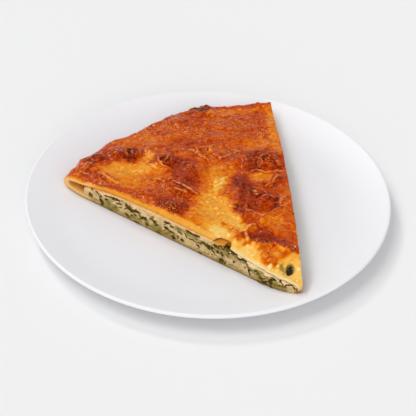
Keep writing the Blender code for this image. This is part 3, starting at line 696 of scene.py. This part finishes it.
# the lips' pale colour: partly paler dry dough, partly painted highlight
skin = add_tint(tree, skin, "paled", (246, 186, 118))
skin = add_tint(tree, skin, "herbs", (96, 78, 18))
below_top = add_sum(tree, "ADD", add_attribute(tree, "depth"), add_range(tree, fine, 0.3, 0.7, -0.25, 0.25))
crumb = add_ramp(tree, add_sum(tree, "DIVIDE", below_top, 3), [
    (0.3, (246, 172, 88)), (0.65, (240, 190, 122)), (1, (224, 190, 132))])
crumb = add_mix(tree, add_range(tree, below_top, 0.1, 0.9, 0, 1), skin, crumb)
lumps = add_noise(tree, place, 3.2 * mm, detail=3)
lower = add_ramp(tree, lumps, [(0.3, (160, 134, 78)), (0.5, (188, 160, 102)), (0.7, (212, 186, 128))])
lower = add_mix(tree, add_range(tree, fine, 0.54, 0.68, 0, 0.5), lower, (146, 122, 54))
crumb = add_tint(tree, crumb, "milky", (246, 222, 172))
level = add_attribute(tree, "above_plate")
# painted light: a lighter band where the lower sheet meets the cheese, against the shade in the seam
painted_seam_light = add_range(tree, level, 1.3, 2, 0, 0.5)
lower = add_mix(tree, painted_seam_light, lower, (226, 200, 142))
crumb = add_mix(tree, add_range(tree, level, 2.4, 3.6, 1, 0), crumb, lower)
# darker in the lowest 2 mm, partly the browned underside and partly painted shade where the slice meets the
# plate
crumb = add_mix(tree, add_range(tree, level, 0.3, 2.1, 0.9, 0), crumb, (128, 106, 66))
for name, tint in (("greens", (128, 104, 32)), ("doughy", (244, 190, 118)), ("singed", (150, 96, 26))):
    crumb = add_tint(tree, crumb, name, tint)
tree.links.new(add_tint(tree, skin, "cut", crumb), shader.inputs["Base Color"])
tree.links.new(add_range(tree, add_attribute(tree, "cut"), 0, 1, 0.2, 0.7), shader.inputs["Roughness"])
relief = add_bump(tree, shader, add_noise(tree, place, 1.7 * mm, detail=2), 0.6, 0.15 * mm)
add_bump(tree, shader, add_noise(tree, place, 0.8 * mm, detail=0), 0.5, 0.06 * mm, below=relief)
crust.data.materials.append(baked_dough)

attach(crust, "root")
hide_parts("crust")


# ---- Cheese of the filling -----------------------------------------------
# Fresh white cheese kneaded with chopped greens, baked into one soft mass between the sheets. The
# knife leaves it rough and crumbly on both cut sides.
cheese_grain = 0.45 * mm
cheese = remeshed_copy("filling", "cheese_filling", cheese_grain)
thin_out(cheese, behind_cuts(points_of(cheese)[0]) > 3, 0.04)
points, normals = points_of(cheese)
gap_to_cut = behind_cuts(points)
curdy = 0.5 * noise_at(points, 2.6, 2) + 0.34 * noise_at(points, 1.1, 9)
points += normals * (curdy * easing(1.6 - gap_to_cut / 2))[:, None]
# at the cuts it sags onto the lower sheet, so that no groove stays open between the two
points[:, 2] -= 0.6 * easing((8.4 - points[:, 2]) / 0.8) * easing(2.5 - gap_to_cut)
points[:, :2] += pressed_out(points)
put_points(cheese, points)
along_front, level = (points[:, :2] - apex) @ front_way, points[:, 2]
off_cut = behind_front(points)
x, y = points[:, 0], points[:, 1]
notch = 50.3
by_notch = (np.abs(along_front - notch) < 8) & (off_cut < 9)
skin_level = np.where(by_notch, 19, top_level(x, y))
creamy = easing((5.2 - skin_level + level + 0.8 * noise_at(points, 2.4, 4)) / 2.4)
in_notch = (np.abs(along_front - notch) < 6.4) & by_notch & (level > 15.6)
toasted = in_notch * easing(1.2 + noise_at(points, 2, 6))
in_hole = easing(2.2 - oval(x, y, *hole, 2.4, 2.8)) * (level > 9) * (off_cut > 1)
milky = creamy * easing((48 - np.hypot(along_front, off_cut)) / 10)
keep_values(cheese, creamy=creamy, milky=milky, toasted=toasted, in_hole=in_hole)

fresh_cheese, tree, shader, place = new_finish("fresh_cheese", 0.5, 0.18)
clumps = add_noise(tree, place, 3.2 * mm, detail=3)
fine = add_noise(tree, place, 0.8 * mm, detail=3)
body = add_ramp(tree, clumps, [(0.3, (194, 164, 108)), (0.5, (222, 190, 136)), (0.7, (244, 214, 166))])
height = add_height(tree, place)
# painted shade darkens the cut towards the bottom, and a painted lighter band where it meets the lower sheet
# offsets the shade in the seam
shaded = add_range(tree, height, 6.6 * mm, 12 * mm, 0.55, 0)
body = add_mix(tree, shaded, body, (186, 160, 100))
painted_seam_light = add_range(tree, height, 7.2 * mm, 8.4 * mm, 0.6, 0)
body = add_mix(tree, painted_seam_light, body, (226, 198, 142))
stain = add_range(tree, add_noise(tree, place, 1.8 * mm, detail=2, distortion=1), 0.57, 0.7, 0, 0.55)
body = add_mix(tree, stain, body, (152, 126, 54))
for name, tint in (("greens", (128, 104, 32)), ("creamy", (250, 202, 140)), ("milky", (246, 220, 168)),
                   ("toasted", (214, 144, 46)), ("in_hole", (58, 46, 10))):
    body = add_tint(tree, body, name, tint)
tree.links.new(body, shader.inputs["Base Color"])
relief = add_bump(tree, shader, clumps, 0.4, 0.4 * mm)
add_bump(tree, shader, fine, 0.5, 0.2 * mm, below=relief)
cheese.data.materials.append(fresh_cheese)

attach(cheese, "root")
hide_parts("filling")


# ---- Chopped leaves ------------------------------------------------------
# Dark, wilted leaves chopped into shreds. Each lies in the cheese with one cut side showing, as a
# thin wavy strip; a few are wider bits of leaf.
cut_sides = {"front": (front_way, front_out), "right": (right_way, right_out)}
side_surface = surface_of(crust, cheese)


def on_cut(side, along, level, lift):
    """A point on a cut side, this far from the apex and above the table, lifted off it (mm)."""
    way, out = cut_sides[side]
    start = Vector((*(apex + way * along + out * 6), level))
    found = side_surface.ray_cast(start, Vector((*-out, 0)), 12)[0]
    if found is None:
        found = start - Vector((*out, 0)) * 6
    return found + Vector((*out, 0)) * lift


# one strip, an even sheet 1 by 1 that each shred bends to its own place
bpy.ops.object.select_all(action="DESELECT")
bpy.ops.mesh.primitive_grid_add(x_subdivisions=14, y_subdivisions=3, size=1, location=(0, 0, 0))
strip = bpy.context.object
strip.name = "strip_pattern"


def own_copy(pattern):
    """A copy of a pattern piece, with a mesh of its own."""
    copy = pattern.copy()
    copy.data = pattern.data.copy()
    bpy.context.scene.collection.objects.link(copy)
    return copy


def lay_strip(side, start, end, width, seed, lift=0.12):
    """A copy of the strip laid from one (along, level) to another on a cut side (mm)."""
    shred = own_copy(strip)
    length = hypot(end[0] - start[0], end[1] - start[1])
    way = ((end[0] - start[0]) / length, (end[1] - start[1]) / length)
    for vertex in shred.data.vertices:
        share, off = vertex.co.x + 0.5, vertex.co.y
        taper = 1 - 0.75 * abs(2 * share - 1) ** 3
        ragged = 1 + 0.35 * noise.noise((share * length / 0.9, seed * 3.7, off * 2))
        wave = width * 0.55 * noise.noise((share * length / 2.6, seed * 1.3, 0))
        away = off * width * taper * ragged + wave
        along = start[0] + way[0] * share * length - way[1] * away
        level = start[1] + way[1] * share * length + way[0] * away
        curl = 0.22 * noise.noise((share * length / 1.8, off, seed * 2.1))
        vertex.co = on_cut(side, along, level, lift + curl) * mm
    return shred


def joined(pieces, name, thickness=0):
    """Several small pieces made one: sheets get a wall (mm), and closed ones face outwards."""
    bpy.ops.object.select_all(action="DESELECT")
    for piece in pieces:
        piece.select_set(True)
    bpy.context.view_layer.objects.active = pieces[0]
    bpy.ops.object.join()
    whole = bpy.context.object
    whole.name = whole.data.name = name
    bpy.ops.object.mode_set(mode="EDIT")
    bpy.ops.mesh.select_all(action="SELECT")
    if thickness:
        bpy.ops.mesh.quads_convert_to_tris()
    else:
        bpy.ops.mesh.normals_make_consistent(inside=False)
    bpy.ops.object.mode_set(mode="OBJECT")
    if thickness:
        wall = whole.modifiers.new("leaf_thickness", "SOLIDIFY")
        wall.thickness = thickness * mm
        wall.offset = 0
        bpy.ops.object.modifier_apply(modifier=wall.name)
    bpy.ops.object.shade_smooth()
    return whole


# the front cut: from along and level, to along and level, width (mm)
front_shreds = [
    (138.3, 10.1, 137.2, 7.9, 0.9), (137.8, 12.4, 135.8, 12.2, 0.5), (134.4, 13, 131.8, 11.9, 0.7),
    (132, 10.6, 128.4, 6.9, 1.2), (130, 9.2, 128.6, 6.6, 1), (128.4, 12.2, 124.4, 13, 0.5),
    (124.6, 13.2, 119, 14.4, 0.45), (127.6, 10.8, 125.4, 10.9, 1), (122.6, 12.9, 117.4, 14, 0.9),
    (120, 11.6, 116.2, 12.4, 0.6), (114, 13.6, 111.2, 12.2, 0.8), (113.2, 11.9, 107.6, 11.4, 1.5),
    (108.4, 12.4, 103.4, 11.8, 1), (107.6, 10.2, 105.6, 9, 0.9), (104.2, 10.4, 99.4, 9.8, 1.3),
    (113.4, 7.8, 109.4, 7.3, 0.8), (99.6, 8.2, 97.6, 7.4, 0.9), (97, 12, 93.2, 11.8, 0.9),
    (94.6, 11.2, 92.2, 8.6, 1.3), (88, 14, 84, 14.1, 0.8), (83.6, 13.4, 81.4, 13.6, 0.8),
    (87.6, 10.9, 84.4, 9.6, 0.8), (84.6, 9.8, 80.4, 9.2, 0.7), (82.4, 7.8, 79.6, 6.9, 1.1),
    (76.4, 8.2, 74.4, 7.8, 0.8), (74.6, 12.2, 72.4, 11.2, 0.5), (73.4, 15.2, 68.6, 15.1, 1),
    (69.4, 15, 64.4, 15.1, 0.9), (78.6, 12.4, 75.6, 11, 0.45), (66.4, 9.2, 64.2, 8.4, 0.5),
    (63.4, 12.6, 60.2, 12.2, 1.3), (60.8, 11.6, 56, 11.4, 1.2), (57, 12.6, 54.8, 12.2, 1),
    (55.8, 14.6, 51.4, 13.6, 1.3), (53.6, 11.8, 51.8, 11, 1.2), (52.4, 15.8, 48.4, 14.6, 0.8),
    (50.6, 12.4, 49, 10.4, 1.6), (49.4, 16.6, 43.4, 15.4, 0.9), (48, 15.2, 42, 13.8, 1),
    (44.6, 16.4, 40.4, 14.8, 0.7), (42, 13.2, 38.2, 13.4, 1.1), (38.6, 13.2, 34.6, 13.4, 1.2),
    (51.2, 7.4, 48.2, 6.9, 2), (57, 10.4, 54.4, 9.2, 0.4), (29.6, 10.8, 25.4, 10.6, 1.2),
    (26.6, 8.4, 24.2, 7.6, 1.4), (24.4, 7.2, 20.4, 6.7, 0.8), (24.6, 10.2, 21.8, 9.6, 1),
    (20.8, 8.6, 18.2, 7.2, 1.2), (19.6, 10.9, 16.2, 10.6, 0.9), (18.4, 13.2, 15.6, 12, 0.5),
    (124.4, 6.8, 121.6, 6.2, 0.6), (107, 6.4, 103.4, 6.2, 0.5), (92, 6.6, 88.4, 6.2, 0.7),
    (64, 6.6, 61.8, 6.3, 0.4), (26.4, 6.4, 22.6, 6, 0.8), (19.6, 6.4, 17.4, 6, 0.6),
    (71.7, 11.1, 66, 10.5, 0.35), (66, 10.5, 58.9, 13.3, 0.35), (34.8, 12.1, 33.5, 9.5, 0.4),
    (33.5, 9.5, 31.4, 6.9, 0.4), (11.4, 9.2, 9.8, 11.2, 0.45), (10, 11.1, 7, 11.9, 0.45),
    (7.2, 11.9, 4.4, 10.8, 0.4), (16, 12.2, 12.6, 11.4, 0.6), (14.4, 11.2, 11.6, 10, 0.8),
    (20, 9.8, 18.6, 9, 1.2),
]
chopping = np.random.default_rng(12)
# nearer the tip than this the filling is thinner (mm)
thin_end = 35


def chopped_row(reach, levels, end_levels, lengths, tilts, widths):
    """A shred by chance: its start, its end and its width (mm)."""
    along = chopping.uniform(*reach)
    level = chopping.uniform(*(levels if along > thin_end else end_levels))
    length = chopping.uniform(*lengths)
    tilt = chopping.normal(*tilts)
    end = (along + length * cos(tilt), level + length * sin(tilt))
    return along, level, *end, chopping.uniform(*widths)


right_shreds = [chopped_row((9, 146), (8.2, 14.2), (7.6, 11.5), (1.5, 6), (0, 0.28), (0.5, 1.5))
                for _ in range(70)]
crumbs = [chopped_row((12, 138), (7.8, 14), (7.6, 10.5), (0.8, 2.4), (0.1, 0.5), (0.3, 0.7))
          for _ in range(34)]
shreds = []
for side, rows, swelling, seed in (("front", front_shreds, 1.35, 0), ("right", right_shreds, 1, 100),
                                   ("front", crumbs, 1, 200)):
    for number, row in enumerate(rows, seed):
        shreds.append(lay_strip(side, row[:2], row[2:4], swelling * row[4], number))
leaves = joined(shreds, "leaf_shreds", 0.3)


def greens_finish(piece, finish, blotch, stops, grain, depth):
    """Gives a piece a blotched green finish with a fine grain (mm)."""
    finish, tree, shader, place = new_finish(*finish)
    green = add_ramp(tree, add_noise(tree, place, blotch * mm, detail=3), stops)
    tree.links.new(green, shader.inputs["Base Color"])
    add_bump(tree, shader, add_noise(tree, place, grain * mm, detail=2), 0.4, depth * mm)
    piece.data.materials.append(finish)


greens_finish(leaves, ("wilted_leaf", 0.45, 0.06), 1.6, [
    (0.3, (38, 24, 2)), (0.46, (72, 54, 10)), (0.6, (112, 92, 26)), (0.75, (152, 130, 48))], 0.5, 0.12)

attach(leaves, "root")


# ---- Stem slices ---------------------------------------------------------
# Softened slices of the greens' stalks, olive to yellow. The knife left them standing a little proud
# of both cuts, and together with the leaves they stain what lies around them.
bpy.ops.object.select_all(action="DESELECT")
bpy.ops.mesh.primitive_ico_sphere_add(subdivisions=3, radius=1, location=(0, 0, 0))
lump = bpy.context.object
lump.name = "lump_pattern"


def lay_lump(side, along, level, half_length, half_height, turn, seed, stand=0.25):
    """A copy of the lump pressed into a cut side (mm)."""
    way, out = cut_sides[side]
    bit = own_copy(lump)
    middle = on_cut(side, along, level, 0)
    c, s = cos(radians(turn)), sin(radians(turn))
    half_depth = 0.7 * half_height
    for vertex in bit.data.vertices:
        u, v, w = vertex.co
        swell = 1 + 0.25 * noise.noise((u * 1.6 + seed, v * 1.6, w * 1.6 - seed))
        p, q = u * half_length * swell, v * half_height * swell
        level_off = p * s + q * c
        sideways = p * c - q * s
        outward = w * half_depth * swell - half_depth + stand
        place = middle + Vector((*(way * sideways + out * outward), level_off))
        vertex.co = place * mm
    return bit


# the front cut: along, level, half length, half height (mm), turn (degrees)
stem_slices = [
    (125.4, 8.8, 3, 1.5, -10), (120.6, 7.7, 1.6, 1.3, 10), (105.4, 8.6, 2.6, 1, -5), (99, 8.2, 1.2, 0.9, 0),
    (91.4, 8, 2.8, 1.4, -5), (86, 8.4, 2.4, 1.3, -12), (82.6, 8.3, 1.9, 1, -12), (94.6, 7.6, 1.8, 0.8, 0),
    (77.6, 13.6, 2.4, 1, 0), (70.6, 13.6, 3, 1.1, 2), (66.8, 13.2, 1.6, 0.9, 0), (47.2, 12.9, 2.6, 1.5, 0),
    (40.4, 12.6, 2.2, 0.8, 4), (36.8, 12.8, 2, 0.8, 2), (28.6, 9.6, 2.6, 1.1, 0), (26, 10.6, 2, 0.9, 0),
    (16.8, 8.7, 2.3, 1.3, 0), (32, 10.2, 1.4, 0.7, 0),
]
slices = [lay_lump("front", *row, number, 0.5) for number, row in enumerate(stem_slices)]
right_slices = chopping.uniform((12, 7.8, 1.2, 0.8, -15), (144, 11.5, 3, 1.5, 15), (16, 5))
slices += [lay_lump("right", *row, number, 0.5) for number, row in enumerate(right_slices, 30)]
stems = joined(slices, "stem_slices")

greens_finish(stems, ("soft_stem", 0.35), 1.9, [
    (0.3, (100, 88, 20)), (0.5, (146, 128, 40)), (0.7, (190, 168, 80))], 0.6, 0.15)

# the greens stain the cheese and the dough around them
for piece in (crust, cheese):
    points = points_of(piece)[0]
    level, stained = points[:, 2], np.zeros(len(points))
    for side, strips, bits in (("front", front_shreds, stem_slices), ("right", right_shreds, right_slices)):
        way, out = cut_sides[side]
        along = (points[:, :2] - apex) @ way
        shows = (points[:, :2] - apex) @ out > -3
        for *ends, width in strips:
            off = np.abs(off_line(along, level, [ends[:2], ends[2:]])[0])
            stained = np.maximum(stained, 0.6 * shows * easing(1.7 - off / (0.7 * width)))
        for bit in bits:
            stained = np.maximum(stained, 0.55 * shows * easing(2.2 - oval(along, level, *bit)))
    keep_values(piece, greens=stained)

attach(stems, "root")


# ---- Cheese knobs --------------------------------------------------------
# Pale knobs of curd that didn't melt in the oven, of the same fresh cheese as the filling. They too
# stand a little proud of both cuts.
# the front cut: along, level, half length, half height (mm), turn (degrees)
cheese_knobs = [
    (88.2, 9.3, 0.8, 1, 0), (132.4, 9, 1.6, 1, -20), (121.6, 10.6, 2, 0.8, -25), (110.8, 9.8, 1.8, 1, 0),
    (101.6, 11.6, 2, 0.9, 0), (96.4, 10, 1.2, 0.9, 0), (81, 11.4, 1.8, 0.9, 0), (74.2, 10.2, 1.8, 0.9, -15),
    (60.6, 14.2, 2.4, 0.9, 0), (53, 9.4, 1.8, 1.2, 0), (45.4, 14.6, 2.2, 0.6, -8), (23.4, 9.9, 1.4, 0.8, 0),
    (15.4, 12, 1.3, 0.9, 0), (13.8, 10, 1.2, 0.8, 0), (7.4, 8.5, 3, 2.1, 0), (104.4, 9.6, 1.3, 0.7, 0),
]
knobs = [lay_lump("front", *row, number, 0.4) for number, row in enumerate(cheese_knobs, 60)]
right_knobs = chopping.uniform((10, 7.8, 0.9, 0.6, -20), (144, 13.5, 2.2, 1.3, 20), (16, 5))
knobs += [lay_lump("right", *row, number) for number, row in enumerate(right_knobs, 90)]
curds = joined(knobs, "cheese_knobs")
curds.data.materials.append(fresh_cheese)

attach(curds, "root")
# the two patterns have been copied, and aren't pieces themselves
for pattern in (strip, lump):
    bpy.data.objects.remove(pattern)


# ---- Floor, light and camera ---------------------------------------------
# A matt white table under a large softbox on the left, with a white reflector in front, a small
# window behind and the room's own light from all sides. The camera has the photo's viewing angle.
bpy.ops.object.select_all(action="DESELECT")
bpy.ops.mesh.primitive_grid_add(x_subdivisions=4, y_subdivisions=4, size=8, location=(0, 0, 0))
table = bpy.context.object
table.name = "white_table"
table_finish, tree, shader, place = new_finish("matt_white_table", 0.9, 0.1)
tree.links.new(add_ramp(tree, add_noise(tree, place, 300 * mm, detail=1), [
    (0, (242, 242, 242)), (1, (244, 244, 244))]), shader.inputs["Base Color"])
table.data.materials.append(table_finish)

scene = bpy.context.scene
scene.view_settings.view_transform = "Standard"
scene.world = bpy.data.worlds.new("white_room")
scene.world.use_nodes = True
room = scene.world.node_tree.nodes["Background"]
room.inputs["Color"].default_value = (0.985, 0.99, 1, 1)
room.inputs["Strength"].default_value = 0.49

# each light's name, height and direction over the plate (degrees), place (m), energy, spread (degrees)
lights = [
    ("softbox", 62, 185, (-0.5, 0.3, 0.8), 1, 40),
    ("white_reflector", 20, 280, (0.1, -0.8, 0.5), 0.95, 50),
    ("small_window", 44, 128, (-0.1, 0.8, 0.9), 0.5, 10),
]
for name, elevation, azimuth, place, energy, spread in lights:
    bpy.ops.object.light_add(type="SUN", location=place,
                             rotation=(pi / 2 - radians(elevation), 0, radians(azimuth) + pi / 2))
    light = bpy.context.object
    light.name = name
    light.data.energy = energy
    light.data.angle = radians(spread)

view_elevation, view_roll, view_distance = radians(38.38), radians(2.024), 0.8
aim = Vector((0.12 * mm, 0.37 * mm, 0))
turn = Matrix.Rotation(pi / 2 - view_elevation, 3, "X") @ Matrix.Rotation(view_roll, 3, "Z")
bpy.ops.object.camera_add(location=aim + turn @ Vector((0, 0, view_distance)), rotation=turn.to_euler())
camera = bpy.context.object
camera.data.lens = 125.19
camera.data.sensor_width = 36
camera.data.clip_start = 0.01
scene.camera = camera
